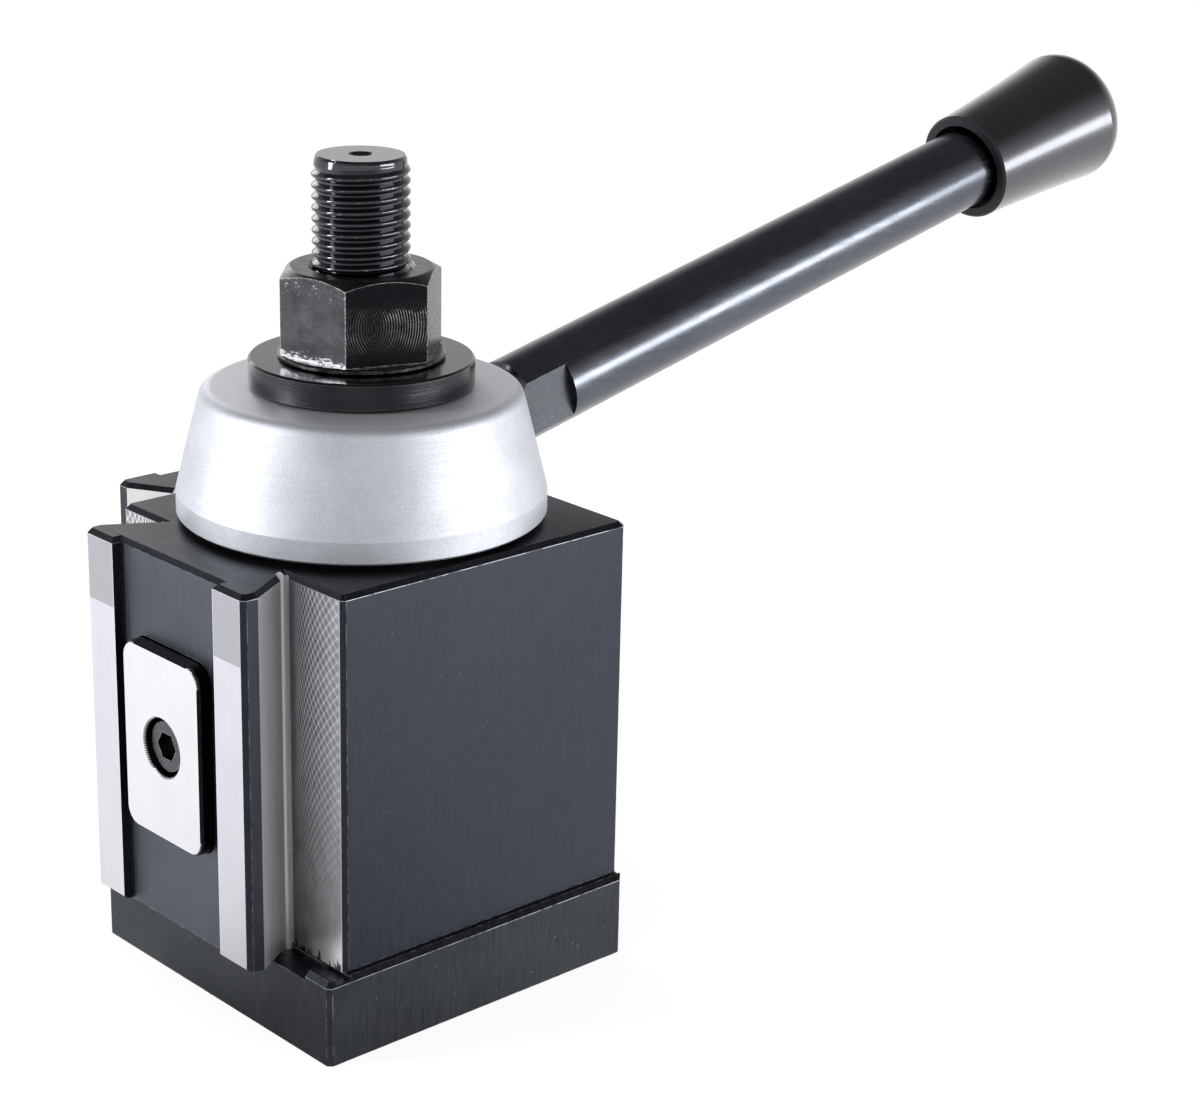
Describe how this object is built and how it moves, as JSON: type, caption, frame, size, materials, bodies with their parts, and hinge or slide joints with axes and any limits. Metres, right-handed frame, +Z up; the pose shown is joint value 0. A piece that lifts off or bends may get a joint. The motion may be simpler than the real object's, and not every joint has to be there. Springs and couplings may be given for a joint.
{
  "type": "lathe tool post",
  "caption": "Quick-change lathe tool post: steel block with two dovetails, each with a locking piston worked by a lever cam under an aluminium cap, clamped by a threaded stud and nut.",
  "frame": {"origin": "on the stud's axis, in the plane of the foot's underside", "axes": "+Z up along the stud, -Y out of the front dovetail, -X out of the side dovetail"},
  "size_m": [0.1014, 0.3148, 0.1909],
  "materials": {
    "black_oxide_body": "satin blue-black oxide over milled steel",
    "black_oxide_handle": "polished black oxide",
    "black_oxide_thread": "oiled black oxide",
    "black_oxide_nut": "black oxide over milled flats",
    "black_oxide_washer": "dark turned oxide",
    "black_screw": "black oxide",
    "ground_steel": "surface ground",
    "turned_steel": "turned and oiled",
    "spring_steel": "oil tempered",
    "cap_aluminium": "satin, fine turned",
    "knob_plastic": "moulded, gloss",
    "brass": "turned",
    "bronze": "turned"
  },
  "bodies": {
    "post": {"post_body": "black_oxide_body", "center_sleeve": "turned_steel", "cam_thrust_washer": "bronze", "front_spring_washer": "turned_steel", "front_retaining_ring": "spring_steel", "front_return_spring": "spring_steel", "side_spring_washer": "turned_steel", "side_retaining_ring": "spring_steel", "side_return_spring": "spring_steel"},
    "cam_lever": {"cam_spindle": "turned_steel", "top_cap": "cap_aluminium", "handle_rod": "black_oxide_handle", "knob_insert": "brass", "handle_knob": "knob_plastic"},
    "front_locking_piston": {"front_piston": "turned_steel", "front_piston_plate": "ground_steel", "front_piston_screw": "black_screw"},
    "side_locking_piston": {"side_piston": "turned_steel", "side_piston_plate": "ground_steel", "side_piston_screw": "black_screw"},
    "stud": {"clamp_stud": "black_oxide_thread"},
    "washer": {"clamp_washer": "black_oxide_washer"},
    "nut": {"clamp_nut": "black_oxide_nut"}
  },
  "joints": [
    {"name": "lever_turn", "type": "hinge", "parent": "post", "child": "cam_lever", "pos_m": [0, 0, 0.1], "axis": [0, 0, 1], "range_deg": [0, 60]},
    {"name": "front_piston_slide", "type": "slide", "parent": "post", "child": "front_locking_piston", "axis": [0, 1, 0], "range_m": [0, 0.0015], "deforming": ["front_return_spring"]},
    {"name": "side_piston_slide", "type": "slide", "parent": "post", "child": "side_locking_piston", "axis": [1, 0, 0], "range_m": [0, 0.0015], "deforming": ["side_return_spring"]},
    {"name": "stud_turn", "type": "hinge", "parent": "post", "child": "stud", "pos_m": [0, 0, 0.1], "axis": [0, 0, 1], "continuous": true},
    {"name": "washer_lift", "type": "slide", "parent": "stud", "child": "washer", "axis": [0, 0, 1], "range_m": [0, 0.0075]},
    {"name": "nut_turn", "type": "hinge", "parent": "washer", "child": "nut", "pos_m": [0, 0, 0.155], "axis": [0, 0, 1], "range_deg": [0, 1080]}
  ],
  "couplings": [
    {"joint": "front_piston_slide", "follows": "lever_turn", "m_per_rad": 0.0014324},
    {"joint": "side_piston_slide", "follows": "lever_turn", "m_per_rad": 0.0014324},
    {"joint": "nut_turn", "follows": "washer_lift", "rad_per_m": 2513.3}
  ]
}
